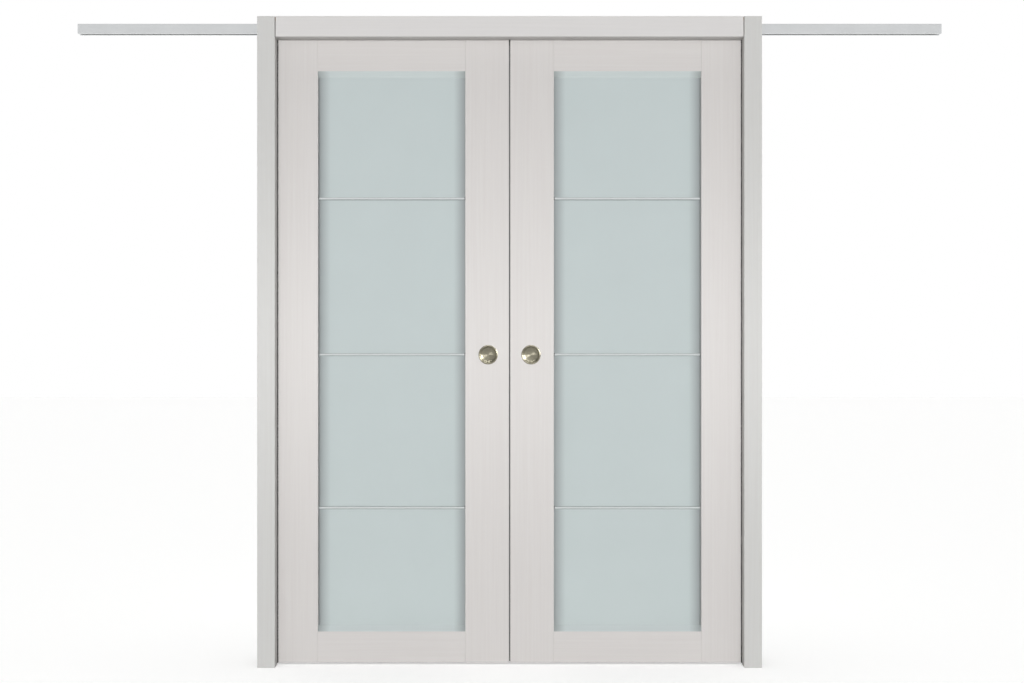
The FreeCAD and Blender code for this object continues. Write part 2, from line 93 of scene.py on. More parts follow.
def white_laminate(name, pale, deep, along, painted_light=None):
    """Laminate with its grain along X (0) or Z (2), and any painted light, a paler colour, on the narrow
    sides.

    Its tone drifts in soft streaks a few millimetres wide. The pores are pressed in: each is a touch darker
    and duller than the satin skin. Real pores are 0.3 mm wide, and are drawn wider so that they show.
    """
    material, tree = new_material(name)
    place = add(tree, "ShaderNodeTexCoord").outputs["Object"]
    streak_scale = [1 / STREAK_WIDTH] * 3
    streak_scale[along] = 1 / STREAK_LENGTH
    pore_scale = [1 / PORE_WIDTH] * 3
    pore_scale[along] = 1 / PORE_LENGTH
    streak_place = add(tree, "ShaderNodeMapping", {"Vector": place, "Scale": streak_scale})
    streaks = add(tree, "ShaderNodeTexNoise",
                  {"Vector": streak_place.outputs[0], "Scale": 1.0, "Detail": 3.0})
    pore_place = add(tree, "ShaderNodeMapping", {"Vector": place, "Scale": pore_scale})
    grain = add(tree, "ShaderNodeTexNoise", {"Vector": pore_place.outputs[0], "Scale": 1.0, "Detail": 2.0})
    tone = add(tree, "ShaderNodeMapRange", {0: streaks.outputs[0], 1: 0.3, 2: 0.7, 3: 0.0, 4: 0.8})
    pores = add(tree, "ShaderNodeMapRange", {0: grain.outputs[0], 1: 0.56, 2: 0.72, 3: 0.0, 4: 1.0})
    darkening = add(tree, "ShaderNodeMath", {0: pores.outputs[0], 1: 0.35, 2: tone.outputs[0]},
                    operation="MULTIPLY_ADD", use_clamp=True)
    colour = add(tree, "ShaderNodeMix", {0: darkening.outputs[0], 6: linear(pale), 7: linear(deep)},
                 data_type="RGBA")
    # Painted light: the narrow sides are painted paler, as light on faces that lie in shade.
    if painted_light:
        through = add(tree, "ShaderNodeSeparateXYZ", {0: place}).outputs["Y"]
        depth = add(tree, "ShaderNodeMath", {0: through}, operation="ABSOLUTE")
        lit_band = add(tree, "ShaderNodeMapRange",
                   {0: depth.outputs[0], 1: LIGHT_BAND_REACH, 2: LIGHT_BAND_REACH - LIGHT_BAND_BLEND})
        colour = add(tree, "ShaderNodeMix", {0: lit_band.outputs[0], 6: colour.outputs[2], 7: linear(painted_light)},
                     data_type="RGBA")
    dulling = add(tree, "ShaderNodeMapRange", {0: pores.outputs[0], 3: 0.42, 4: 0.56})
    relief = add(tree, "ShaderNodeBump", {"Height": pores.outputs[0], "Strength": 0.25, "Distance": 0.00006},
                 invert=True)
    shader = add(tree, "ShaderNodeBsdfPrincipled", {
        "Base Color": colour.outputs[2], "Roughness": dulling.outputs[0], "IOR": 1.5,
        "Normal": relief.outputs[0],
    })
    add(tree, "ShaderNodeOutputMaterial", {"Surface": shader.outputs[0]})
    return material


# Painted shade: the jambs' laminate is painted darker than the casings' and leaves', as shade in the reveals
# beside the leaves.
shaded_upright_jamb = white_laminate("white_laminate_jamb_upright", "#bebcba", "#b8b6b4", 2)
shaded_level_jamb = white_laminate("white_laminate_jamb_level", "#bebcba", "#b8b6b4", 0)
for face in FACES:
    dress(shaded_upright_jamb, f"left_jamb_{face}", f"right_jamb_{face}")
    dress(shaded_level_jamb, f"head_jamb_{face}")


# Head board
# A strip of birch plywood, screwed down on the jambs, ties them together and carries the track.
# Its edges show the plies, long grain and end grain in turn. Its faces show one sanded veneer.
PLY = 0.0012
VENEER_FIGURE = (0.111, 0.00385, 0.025)
END_PORE = (0.00111, 0.00111, 0.005)
board_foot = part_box("head_board")[0].z
plywood, tree = new_material("birch_plywood")
place = add(tree, "ShaderNodeTexCoord").outputs["Object"]
height = add(tree, "ShaderNodeSeparateXYZ", {0: place}).outputs["Z"]
rise = add(tree, "ShaderNodeMath", {0: height, 1: board_foot}, operation="SUBTRACT")
ply_number = add(tree, "ShaderNodeMath", {0: rise.outputs[0], 1: PLY}, operation="DIVIDE")
ply_turn = add(tree, "ShaderNodeMath", {0: ply_number.outputs[0], 1: 1.0}, operation="PINGPONG")
ply_edge = add(tree, "ShaderNodeMapRange", {0: ply_turn.outputs[0], 1: 0.35, 2: 0.65})
veneer_place = add(tree, "ShaderNodeMapping",
                   {"Vector": place, "Scale": [1 / size for size in VENEER_FIGURE]})
veneer = add(tree, "ShaderNodeTexNoise", {"Vector": veneer_place.outputs[0], "Scale": 1.0, "Detail": 4.0})
long_grain = add(tree, "ShaderNodeMix", {0: veneer.outputs[0], 6: linear("#d9bd92"), 7: linear("#bf9a6b")},
                 data_type="RGBA")
end_place = add(tree, "ShaderNodeMapping", {"Vector": place, "Scale": [1 / size for size in END_PORE]})
end_pores = add(tree, "ShaderNodeTexNoise", {"Vector": end_place.outputs[0], "Scale": 1.0, "Detail": 2.0})
end_grain = add(tree, "ShaderNodeMix", {0: end_pores.outputs[0], 6: linear("#a97f52"), 7: linear("#8a6239")},
                data_type="RGBA")
plies = add(tree, "ShaderNodeMix",
            {0: ply_edge.outputs[0], 6: long_grain.outputs[2], 7: end_grain.outputs[2]}, data_type="RGBA")
fuzz = add(tree, "ShaderNodeBump", {"Height": veneer.outputs[0], "Strength": 0.3, "Distance": 0.0002})
shader = add(tree, "ShaderNodeBsdfPrincipled",
             {"Base Color": plies.outputs[2], "Roughness": 0.7, "Normal": fuzz.outputs[0]})
add(tree, "ShaderNodeOutputMaterial", {"Surface": shader.outputs[0]})
dress(plywood, "head_board")


# Track
# Aluminium lengths butt at the middle and run from pocket to pocket, with a slot below for the bolts.
# Natural anodising leaves it pale and satin, with faint die lines along its length.
DIE_LINE_WIDTH = 0.0007
DIE_LINE_LENGTH = 0.333
ANODISING_CLOUD = 0.0714


def anodised_aluminium(name, colours, low_roughness, high_roughness):
    """Extruded along X and anodised: a metal whose sheen is drawn out by fine lines along the length."""
    material, tree = new_material(name)
    place = add(tree, "ShaderNodeTexCoord").outputs["Object"]
    line_scale = (1 / DIE_LINE_LENGTH, 1 / DIE_LINE_WIDTH, 1 / DIE_LINE_WIDTH)
    line_place = add(tree, "ShaderNodeMapping", {"Vector": place, "Scale": line_scale})
    lines = add(tree, "ShaderNodeTexNoise", {"Vector": line_place.outputs[0], "Scale": 1.0, "Detail": 3.0})
    cloud = add(tree, "ShaderNodeTexNoise", {"Vector": place, "Scale": 1 / ANODISING_CLOUD, "Detail": 2.0})
    sheen = add(tree, "ShaderNodeMapRange",
                {0: lines.outputs[0], 1: 0.3, 2: 0.7, 3: low_roughness, 4: high_roughness})
    tint = add(tree, "ShaderNodeMix", {0: cloud.outputs[0], 6: linear(colours[0]), 7: linear(colours[1])},
               data_type="RGBA")
    relief = add(tree, "ShaderNodeBump", {"Height": lines.outputs[0], "Strength": 0.12, "Distance": 0.00005})
    shader = add(tree, "ShaderNodeBsdfPrincipled", {
        "Base Color": tint.outputs[2], "Metallic": 1.0, "Roughness": sheen.outputs[0],
        "Normal": relief.outputs[0],
    })
    add(tree, "ShaderNodeOutputMaterial", {"Surface": shader.outputs[0]})
    return material


dress(anodised_aluminium("anodised_aluminium_track", ("#e2e4e5", "#d9dbdc"), 0.34, 0.46), "track")


# Track screws
# Six pan-head screws hold the track up to the head board from inside.
# Bright zinc plate is a bluish metal with a patchy bloom of blue and straw, duller where it is thick.
ZINC_BLOOM = 0.0111
ZINC_SPECK = 0.000714
bright_zinc, tree = new_material("bright_zinc_plated_steel")
place = add(tree, "ShaderNodeTexCoord").outputs["Object"]
bloom = add(tree, "ShaderNodeTexNoise", {"Vector": place, "Scale": 1 / ZINC_BLOOM, "Detail": 3.0})
specks = add(tree, "ShaderNodeTexNoise", {"Vector": place, "Scale": 1 / ZINC_SPECK, "Detail": 1.0})
tint = add(tree, "ShaderNodeMix", {0: bloom.outputs[0], 6: linear("#b4bcc6"), 7: linear("#c4c3b8")},
           data_type="RGBA")
dulling = add(tree, "ShaderNodeMapRange", {0: bloom.outputs[0], 1: 0.3, 2: 0.7, 3: 0.24, 4: 0.4})
grit = add(tree, "ShaderNodeBump", {"Height": specks.outputs[0], "Strength": 0.08, "Distance": 0.00004})
shader = add(tree, "ShaderNodeBsdfPrincipled", {
    "Base Color": tint.outputs[2], "Metallic": 1.0, "Roughness": dulling.outputs[0],
    "Normal": grit.outputs[0],
})
add(tree, "ShaderNodeOutputMaterial", {"Surface": shader.outputs[0]})
dress(bright_zinc, "track_screws")


# Track stops
# Rubber blocks, clamped in the track, stop each leaf where it closes and where it is fully open.
# Matt black rubber, with a fine moulded grit and a pale bloom.
RUBBER_BLOOM = 0.0167
MOULD_GRIT = 0.0004
rubber, tree = new_material("matt_black_rubber")
place = add(tree, "ShaderNodeTexCoord").outputs["Object"]
bloom = add(tree, "ShaderNodeTexNoise", {"Vector": place, "Scale": 1 / RUBBER_BLOOM, "Detail": 4.0})
grit = add(tree, "ShaderNodeTexNoise", {"Vector": place, "Scale": 1 / MOULD_GRIT, "Detail": 1.0})
tint = add(tree, "ShaderNodeMix", {0: bloom.outputs[0], 6: linear("#1b1b1b"), 7: linear("#2c2c2b")},
           data_type="RGBA")
dulling = add(tree, "ShaderNodeMapRange", {0: bloom.outputs[0], 3: 0.6, 4: 0.85})
relief = add(tree, "ShaderNodeBump", {"Height": grit.outputs[0], "Strength": 0.2, "Distance": 0.00005})
shader = add(tree, "ShaderNodeBsdfPrincipled",
             {"Base Color": tint.outputs[2], "Roughness": dulling.outputs[0], "Normal": relief.outputs[0]})
add(tree, "ShaderNodeOutputMaterial", {"Surface": shader.outputs[0]})
dress(rubber, "track_stops")


# Floor guides
# A moulded nylon pad, pegged into the foot of each jamb, keeps the leaf in the middle of the slot.
# Natural nylon is a waxy off-white that lets a little light in.
NYLON_FLOW = 0.00833
LIGHT_REACH = (0.003, 0.0028, 0.0022)
nylon, tree = new_material("natural_nylon")
place = add(tree, "ShaderNodeTexCoord").outputs["Object"]
flow = add(tree, "ShaderNodeTexNoise", {"Vector": place, "Scale": 1 / NYLON_FLOW, "Detail": 3.0})
tint = add(tree, "ShaderNodeMix", {0: flow.outputs[0], 6: linear("#e4e3dc"), 7: linear("#d5d4cb")},
           data_type="RGBA")
dulling = add(tree, "ShaderNodeMapRange", {0: flow.outputs[0], 3: 0.36, 4: 0.52})
relief = add(tree, "ShaderNodeBump", {"Height": flow.outputs[0], "Strength": 0.1, "Distance": 0.0001})
shader = add(tree, "ShaderNodeBsdfPrincipled", {
    "Base Color": tint.outputs[2], "Roughness": dulling.outputs[0], "IOR": 1.53, "Normal": relief.outputs[0],
    "Subsurface Weight": 0.15, "Subsurface Radius": LIGHT_REACH, "Subsurface Scale": 1.0,
})
add(tree, "ShaderNodeOutputMaterial", {"Surface": shader.outputs[0]})
dress(nylon, "floor_guides")


# Brush seals
# A strip of pile, woven into a thin backing, is stuck inside each jamb's slot and wipes the sliding leaf.
# The pile is cut charcoal nylon in three staggered rows of tufts, combed out towards the doorway.
# Its roots are painted darker than the ragged tips, as shade deep in the pile.
BRUSH_WIDTH = 0.008
BRUSH_BACKING = 0.0012
BACKING_ARRIS = 0.0003
PILE_WIDTH = 0.004
PILE_LENGTH = 0.0035
PILE_LEAN = 0.0027
TUFT_ROWS = 3
TUFT_SIDES = 5
TUFT_PITCH = 0.002
TUFT_REACH = 0.0009
TUFT_ROOT_RADIUS = 0.00072
TUFT_TIP_RADIUS = 0.000315
RAGGED = 0.0004
RAGGED_SEED = 5


def settled():
    """The piece that was just added, with its place, turn and size worked into its mesh."""
    bpy.ops.object.transform_apply(location=True, rotation=True, scale=True)
    return bpy.context.object


def joined(pieces):
    """Join pieces into the first of them."""
    bpy.ops.object.select_all(action="DESELECT")
    for piece in pieces:
        piece.select_set(True)
    bpy.context.view_layer.objects.active = pieces[0]
    bpy.ops.object.join()
    return pieces[0]


def copied(piece, move):
    """A copy with its own mesh, moved by a matrix. A mirrored mesh has its faces turned outwards again."""
    mesh = piece.data.copy()
    mesh.transform(move)
    if move.determinant() < 0:
        mesh.flip_normals()
    copy = bpy.data.objects.new(piece.name, mesh)
    scene.collection.objects.link(copy)
    return copy


low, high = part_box("brush_seals")
inner = high.x - BRUSH_WIDTH
root = high.y - BRUSH_BACKING
tip = root - PILE_LENGTH

middle = ((inner + high.x) / 2, (root + high.y) / 2, (low.z + high.z) / 2)
bpy.ops.mesh.primitive_cube_add(size=1, location=middle, scale=(BRUSH_WIDTH, BRUSH_BACKING, high.z - low.z))
brush = settled()
bpy.ops.object.mode_set(mode="EDIT")
bpy.ops.mesh.select_all(action="SELECT")
bpy.ops.mesh.bevel(offset=BACKING_ARRIS, segments=2, affect="EDGES")
bpy.ops.object.mode_set(mode="OBJECT")
rows = []
for row in range(TUFT_ROWS):
    across = inner + TUFT_REACH + row * (PILE_WIDTH - 2 * TUFT_REACH) / (TUFT_ROWS - 1)
    start = low.z + TUFT_REACH + TUFT_PITCH * (row % 2) / 2
    bpy.ops.mesh.primitive_cone_add(vertices=TUFT_SIDES, radius1=TUFT_ROOT_RADIUS, radius2=TUFT_TIP_RADIUS,
                                    depth=PILE_LENGTH - RAGGED,
                                    location=(across, (root + tip + RAGGED) / 2, start),
                                    rotation=(math.radians(90), 0, 0))
    tufts = settled()
    array = tufts.modifiers.new("along_the_strip", "ARRAY")
    array.use_relative_offset = False
    array.use_constant_offset = True
    array.constant_offset_displace = (0, 0, TUFT_PITCH)
    array.count = int((high.z - TUFT_REACH - start) / TUFT_PITCH) + 1
    bpy.ops.object.modifier_apply(modifier=array.name)
    rows.append(tufts)
bpy.ops.object.select_all(action="DESELECT")
for tufts in rows:
    for vertex in tufts.data.vertices:
        vertex.select = vertex.co.y < (root + tip) / 2
    tufts.select_set(True)
    bpy.context.view_layer.objects.active = tufts
    bpy.ops.object.mode_set(mode="EDIT")
    bpy.ops.transform.translate(value=(-PILE_LEAN, 0, 0))
    bpy.ops.transform.vertex_random(offset=RAGGED, uniform=1.0, seed=RAGGED_SEED)
    bpy.ops.object.mode_set(mode="OBJECT")
    tufts.select_set(False)
brush = joined([brush, *rows])

grey_pile, tree = new_material("cut_nylon_pile")
place = add(tree, "ShaderNodeTexCoord").outputs["Object"]
through = add(tree, "ShaderNodeSeparateXYZ", {0: place}).outputs["Y"]
depth = add(tree, "ShaderNodeMath", {0: through}, operation="ABSOLUTE")
# Painted shade: the pile darkens from its tips towards its roots, deep among the tufts.
root_shade = add(tree, "ShaderNodeMapRange", {0: depth.outputs[0], 1: tip, 2: root})
speckle = add(tree, "ShaderNodeTexNoise", {"Vector": place, "Scale": 1 / TUFT_PITCH, "Detail": 1.0})
tips = add(tree, "ShaderNodeMix", {0: speckle.outputs[0], 6: linear("#4a4948"), 7: linear("#383736")},
           data_type="RGBA")
tint = add(tree, "ShaderNodeMix", {0: root_shade.outputs[0], 6: tips.outputs[2], 7: linear("#222121")},
           data_type="RGBA")
shader = add(tree, "ShaderNodeBsdfPrincipled",
             {"Base Color": tint.outputs[2], "Roughness": 0.85, "Sheen Weight": 0.3})
add(tree, "ShaderNodeOutputMaterial", {"Surface": shader.outputs[0]})
brush.data.materials.clear()
brush.data.materials.append(grey_pile)
for side, across in SIDES.items():
    for face, depth in FACES.items():
        seal = copied(brush, Matrix.Diagonal((across, depth, 1, 1)))
        seal.name = f"{side}_brush_seal_{face}"
        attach(seal, "frame")
        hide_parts("brush_seals")
bpy.data.objects.remove(brush)


# Casings
# Flat laminated boards, pinned over the joint between jamb and wall. The head butts between the sides.
# Their laminate is the jambs', in a lighter tone, since the jambs are painted darker as shade in the reveals.
upright_trim = white_laminate("white_laminate_trim_upright", "#d2d2d0", "#cecdcb", 2)
# Painted light: the head casing is painted lighter than the sides, as light falling on it.
lit_level_trim = white_laminate("white_laminate_trim_level", "#dddbda", "#d9d7d6", 0)
for face in FACES:
    dress(upright_trim, f"left_casing_{face}", f"right_casing_{face}")
    dress(lit_level_trim, f"head_casing_{face}")


# Leaf frames
# Two stiles and two rails make each leaf, glued and dowelled, in a slightly warmer laminate than the trim.
# The grain runs up the stiles and across the rails, so the joints show as faint upright lines.
# The outer stiles' narrow sides are painted brighter, as light on their shaded reveals beside the glass.
upright_leaf = white_laminate("white_laminate_leaf_upright", "#dad7d5", "#d6d2d0", 2)
lit_edge_leaf = white_laminate("white_laminate_leaf_lit_edges", "#dad7d5", "#d6d2d0", 2, "#f4f3f1")
level_leaf = white_laminate("white_laminate_leaf_level", "#dad7d5", "#d6d2d0", 0)
for side in SIDES:
    dress(lit_edge_leaf, f"{side}_outer_stile")
    dress(upright_leaf, f"{side}_meeting_stile")
    dress(level_leaf, f"{side}_top_rail", f"{side}_bottom_rail")


# Dowels
# Beech pegs in the joints between stiles and rails.
# Bare beech is a warm tan with short darker flecks along the grain.
BEECH_FLECK = (0.00333, 0.0005, 0.0005)
beech, tree = new_material("bare_beech")
place = add(tree, "ShaderNodeTexCoord").outputs["Object"]
fleck_place = add(tree, "ShaderNodeMapping", {"Vector": place, "Scale": [1 / size for size in BEECH_FLECK]})
flecks = add(tree, "ShaderNodeTexNoise", {"Vector": fleck_place.outputs[0], "Scale": 1.0, "Detail": 3.0})
tint = add(tree, "ShaderNodeMix", {0: flecks.outputs[0], 6: linear("#d2ae82"), 7: linear("#b98d5e")},
           data_type="RGBA")
relief = add(tree, "ShaderNodeBump", {"Height": flecks.outputs[0], "Strength": 0.3, "Distance": 0.0001})
shader = add(tree, "ShaderNodeBsdfPrincipled",
             {"Base Color": tint.outputs[2], "Roughness": 0.7, "Normal": relief.outputs[0]})
add(tree, "ShaderNodeOutputMaterial", {"Surface": shader.outputs[0]})
for side in SIDES:
    dress(beech, f"{side}_dowels")


# Panes
# Four sheets of 5 mm glass stand one above another in each leaf, held in grooves in the stiles and rails.
# Acid etching frosts both faces: light comes through, but no shape does. The grey-green is the glass's own.
PANES = ("bottom", "lower", "upper", "top")
GLASS_CLOUD = 0.143
GLASS_GRIT = 0.0006
PAINTED_SHADE_WIDTH = 0.038
foot_low, foot_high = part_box("right_bottom_rail")


def painted_stile_shade(tree, place):
    """How far a point lies into the painted shade along the stiles, where the stiles would shade the glass: 0
    to 1.
    """
    across = add(tree, "ShaderNodeSeparateXYZ", {0: place}).outputs["X"]
    from_gap = add(tree, "ShaderNodeMath", {0: across}, operation="ABSOLUTE")
    from_middle = add(tree, "ShaderNodeMath", {0: from_gap.outputs[0], 1: (foot_low.x + foot_high.x) / 2},
                      operation="SUBTRACT")
    reach = add(tree, "ShaderNodeMath", {0: from_middle.outputs[0]}, operation="ABSOLUTE")
    half = (foot_high.x - foot_low.x) / 2
    return add(tree, "ShaderNodeMapRange", {0: reach.outputs[0], 1: half - PAINTED_SHADE_WIDTH, 2: half}).outputs[0]


glass, tree = new_material("acid_etched_glass")
place = add(tree, "ShaderNodeTexCoord").outputs["Object"]
cloud = add(tree, "ShaderNodeTexNoise", {"Vector": place, "Scale": 1 / GLASS_CLOUD, "Detail": 2.0})
grit = add(tree, "ShaderNodeTexNoise", {"Vector": place, "Scale": 1 / GLASS_GRIT, "Detail": 1.0})
tint = add(tree, "ShaderNodeMix", {0: cloud.outputs[0], 6: linear("#ced8d8"), 7: linear("#cad4d4")},
           data_type="RGBA")
# Painted shade: the glass is painted darker within the strip along the stiles, as the stiles' shade on it.
colour = add(tree, "ShaderNodeMix", {0: painted_stile_shade(tree, place), 6: tint.outputs[2], 7: linear("#9da3a4")},
             data_type="RGBA")
relief = add(tree, "ShaderNodeBump", {"Height": grit.outputs[0], "Strength": 0.15, "Distance": 0.00005})
shader = add(tree, "ShaderNodeBsdfPrincipled", {
    "Base Color": colour.outputs[2], "Roughness": 0.4, "IOR": 1.5, "Transmission Weight": 0.9,
    "Normal": relief.outputs[0],
})
add(tree, "ShaderNodeOutputMaterial", {"Surface": shader.outputs[0]})
for side in SIDES:
    dress(glass, *[f"{side}_{pane}_pane" for pane in PANES])


# Glazing beads
# An extruded bead lies on the bevel of each rail, on both sides, and its slope ends in a lip on the glass.
# The lip behind is the shorter one, so that light gets into the pane right up to the lip in front.
# Milky PVC, matched to the frosted glass and painted darker with it near the stiles, as shade: smooth, with a
# soft satin gleam.
BEVEL = 0.012
BEAD_INSET = 0.0008
BEAD_LIPS = {"front": 0.007, "back": 0.0045}
PVC_DRIFT = (0.167, 0.0025, 0.0025)
milky_pvc, tree = new_material("milky_pvc")
place = add(tree, "ShaderNodeTexCoord").outputs["Object"]
drift_place = add(tree, "ShaderNodeMapping", {"Vector": place, "Scale": [1 / size for size in PVC_DRIFT]})
drift = add(tree, "ShaderNodeTexNoise", {"Vector": drift_place.outputs[0], "Scale": 1.0, "Detail": 2.0})
tint = add(tree, "ShaderNodeMix", {0: drift.outputs[0], 6: linear("#d8e1e1"), 7: linear("#d2dbdb")},
           data_type="RGBA")
# Painted shade: the beads take the glass's painted darkening along the stiles.
colour = add(tree, "ShaderNodeMix", {0: painted_stile_shade(tree, place), 6: tint.outputs[2], 7: linear("#a9b0b0")},
             data_type="RGBA")
dulling = add(tree, "ShaderNodeMapRange", {0: drift.outputs[0], 3: 0.42, 4: 0.54})
shader = add(tree, "ShaderNodeBsdfPrincipled",
             {"Base Color": colour.outputs[2], "Roughness": dulling.outputs[0], "IOR": 1.53})
add(tree, "ShaderNodeOutputMaterial", {"Surface": shader.outputs[0]})
top_low, top_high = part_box("right_top_rail")
glass_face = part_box("right_top_pane")[0].y
rail_face = top_low.y + BEAD_INSET
strips = {}
for face, lip in BEAD_LIPS.items():
    section = [
        (rail_face, top_low.z + BEVEL - BEAD_INSET), (top_low.y + BEVEL, top_low.z), (glass_face, top_low.z),
        (glass_face, top_low.z - lip), (top_low.y + BEVEL, top_low.z - BEAD_INSET),
        (rail_face, top_low.z + BEVEL - 2 * BEAD_INSET),
    ]
    bpy.ops.mesh.primitive_circle_add(vertices=len(section), radius=BEVEL, fill_type="NGON")
    strip = bpy.context.object
    for vertex, (depth, height) in zip(strip.data.vertices, section):
        vertex.co = (top_low.x, depth, height)
    bpy.ops.object.mode_set(mode="EDIT")
    bpy.ops.mesh.select_all(action="SELECT")
    bpy.ops.mesh.extrude_region_move(TRANSFORM_OT_translate={"value": (top_high.x - top_low.x, 0, 0)})
    bpy.ops.mesh.select_all(action="SELECT")
    bpy.ops.mesh.normals_make_consistent(inside=False)
    # Extruding leaves the faces in no fixed order, so they are sorted by their distance from the origin.
    bpy.ops.mesh.sort_elements(type="CURSOR_DISTANCE", elements={"FACE"})
    bpy.ops.object.mode_set(mode="OBJECT")
    strip.data.materials.append(milky_pvc)
    strips[face] = strip
for side, across in SIDES.items():
    made = []
    for face, depth in FACES.items():
        for upright in (1, -1):
            lift = Matrix.Translation((0, 0, 0 if upright == 1 else top_low.z + foot_high.z))
            made.append(copied(strips[face], lift @ Matrix.Diagonal((across, -depth, upright, 1))))
    beads = joined(made)
    beads.name = f"{side}_glazing_beads"
    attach(beads, f"{side}_leaf")
for strip in strips.values():
    bpy.data.objects.remove(strip)


# Glazing bars
# Three aluminium H-bars cross each leaf, with a pane in the groove above and below.
# They are extruded and anodised as the track is, with a glossier finish.
bar_aluminium = anodised_aluminium("anodised_aluminium_bars", ("#d6dadb", "#cdd1d1"), 0.22, 0.32)
for side in SIDES:
    dress(bar_aluminium, f"{side}_glazing_bars")


# Bar shadow gaskets
# A grey bead under both flanges of every bar is painted shadow: it stands for the bar's shadow on the pane
# below, drawn as a rolled bead.
# Silicone is smooth and slightly clear: a dull grey with a soft gleam along its round.
BAR_HALF = 0.003
SHADOW_GASKET_HEIGHT = 0.0026
SHADOW_GASKET_PROUD = 0.0016
SHADOW_GASKET_ROUND = 0.0013
SHADOW_GASKET_END_GAP = 0.0005
SHADOW_SILICONE_DRIFT = 0.0167


def pick_edges(piece, chosen):
    """Select the edges whose two ends pass a test, and go into edit mode."""
    bpy.context.view_layer.objects.active = piece
    bpy.ops.object.mode_set(mode="EDIT")
    bpy.ops.mesh.select_mode(type="EDGE")
    bpy.ops.mesh.select_all(action="DESELECT")
    bpy.ops.object.mode_set(mode="OBJECT")
    for edge in piece.data.edges:
        edge.select = all(chosen(piece.data.vertices[end].co) for end in edge.vertices)
    bpy.ops.object.mode_set(mode="EDIT")


def rounded_block(low, high, round_off, chosen):
    """A block between two corners, with the edges that a test picks rounded off."""
    bpy.ops.mesh.primitive_cube_add(size=1, location=(low + high) / 2, scale=high - low)
    piece = settled()
    pick_edges(piece, chosen)
    bpy.ops.mesh.bevel(offset=round_off, segments=4, affect="EDGES")
    bpy.ops.object.mode_set(mode="OBJECT")
    return piece


def copies_on_bars(piece, side):
    """A mesh drawn for the front of the right leaf, at height zero, put on every bar and face of one leaf."""
    made = []
    for below, above in zip(PANES, PANES[1:]):
        height = (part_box(f"{side}_{below}_pane")[1].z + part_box(f"{side}_{above}_pane")[0].z) / 2
        lift = Matrix.Translation((0, 0, height))
        for depth in FACES.values():
            made.append(copied(piece, lift @ Matrix.Diagonal((SIDES[side], -depth, 1, 1))))
    return joined(made)


shadow_silicone, tree = new_material("shadow_grey_silicone")
place = add(tree, "ShaderNodeTexCoord").outputs["Object"]
drift = add(tree, "ShaderNodeTexNoise", {"Vector": place, "Scale": 1 / SHADOW_SILICONE_DRIFT, "Detail": 2.0})
tint = add(tree, "ShaderNodeMix", {0: drift.outputs[0], 6: linear("#a9b0b0"), 7: linear("#9da4a4")},
           data_type="RGBA")
dulling = add(tree, "ShaderNodeMapRange", {0: drift.outputs[0], 3: 0.4, 4: 0.55})
shader = add(tree, "ShaderNodeBsdfPrincipled",
             {"Base Color": tint.outputs[2], "Roughness": dulling.outputs[0], "IOR": 1.41})
add(tree, "ShaderNodeOutputMaterial", {"Surface": shader.outputs[0]})
# Painted shadow: a grey strip along the underside of each bar, where the bar's shadow would fall on the
# glass.
shadow_gasket = rounded_block(
    Vector((foot_low.x + SHADOW_GASKET_END_GAP, glass_face - SHADOW_GASKET_PROUD, -BAR_HALF - SHADOW_GASKET_HEIGHT)),
    Vector((foot_high.x - SHADOW_GASKET_END_GAP, glass_face, -BAR_HALF)), SHADOW_GASKET_ROUND,
    lambda end: end.y < glass_face - SHADOW_GASKET_PROUD / 2 and end.z < -BAR_HALF - SHADOW_GASKET_HEIGHT / 2)
shadow_gasket.data.materials.append(shadow_silicone)
for side in SIDES:
    shadow_gaskets = copies_on_bars(shadow_gasket, side)
    shadow_gaskets.name = f"{side}_bar_shadow_gaskets"
    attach(shadow_gaskets, f"{side}_leaf")
bpy.data.objects.remove(shadow_gasket)


# Bar end shade clips
# A small dark clip is drawn at each bar's end against the meeting stile, as painted shade where the bar meets
# the stile.
# Grey nylon with a fine spark-eroded texture.
SHADE_CLIP_WIDTH = 0.0025
SHADE_CLIP_HALF = 0.0048
SHADE_CLIP_PROUD = 0.0036
SHADE_CLIP_ROUND = 0.0008
shade_clip_nylon, tree = new_material("shade_grey_nylon")
place = add(tree, "ShaderNodeTexCoord").outputs["Object"]
grit = add(tree, "ShaderNodeTexNoise", {"Vector": place, "Scale": 1 / MOULD_GRIT, "Detail": 1.0})
tint = add(tree, "ShaderNodeMix", {0: grit.outputs[0], 6: linear("#5d6060"), 7: linear("#4d5050")},
           data_type="RGBA")
relief = add(tree, "ShaderNodeBump", {"Height": grit.outputs[0], "Strength": 0.2, "Distance": 0.00005})
shader = add(tree, "ShaderNodeBsdfPrincipled",
             {"Base Color": tint.outputs[2], "Roughness": 0.55, "IOR": 1.53, "Normal": relief.outputs[0]})
add(tree, "ShaderNodeOutputMaterial", {"Surface": shader.outputs[0]})
# Painted shade: a dark block at the bar's end, where the bar meets the meeting stile.
shade_clip = rounded_block(
    Vector((foot_low.x, glass_face - SHADE_CLIP_PROUD, -SHADE_CLIP_HALF)),
    Vector((foot_low.x + SHADE_CLIP_WIDTH, glass_face, SHADE_CLIP_HALF)), SHADE_CLIP_ROUND,
    lambda end: end.y < glass_face - SHADE_CLIP_PROUD / 2)
shade_clip.data.materials.append(shade_clip_nylon)
for side in SIDES:
    shade_clips = copies_on_bars(shade_clip, side)
    shade_clips.name = f"{side}_bar_end_shade_clips"
    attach(shade_clips, f"{side}_leaf")
bpy.data.objects.remove(shade_clip)


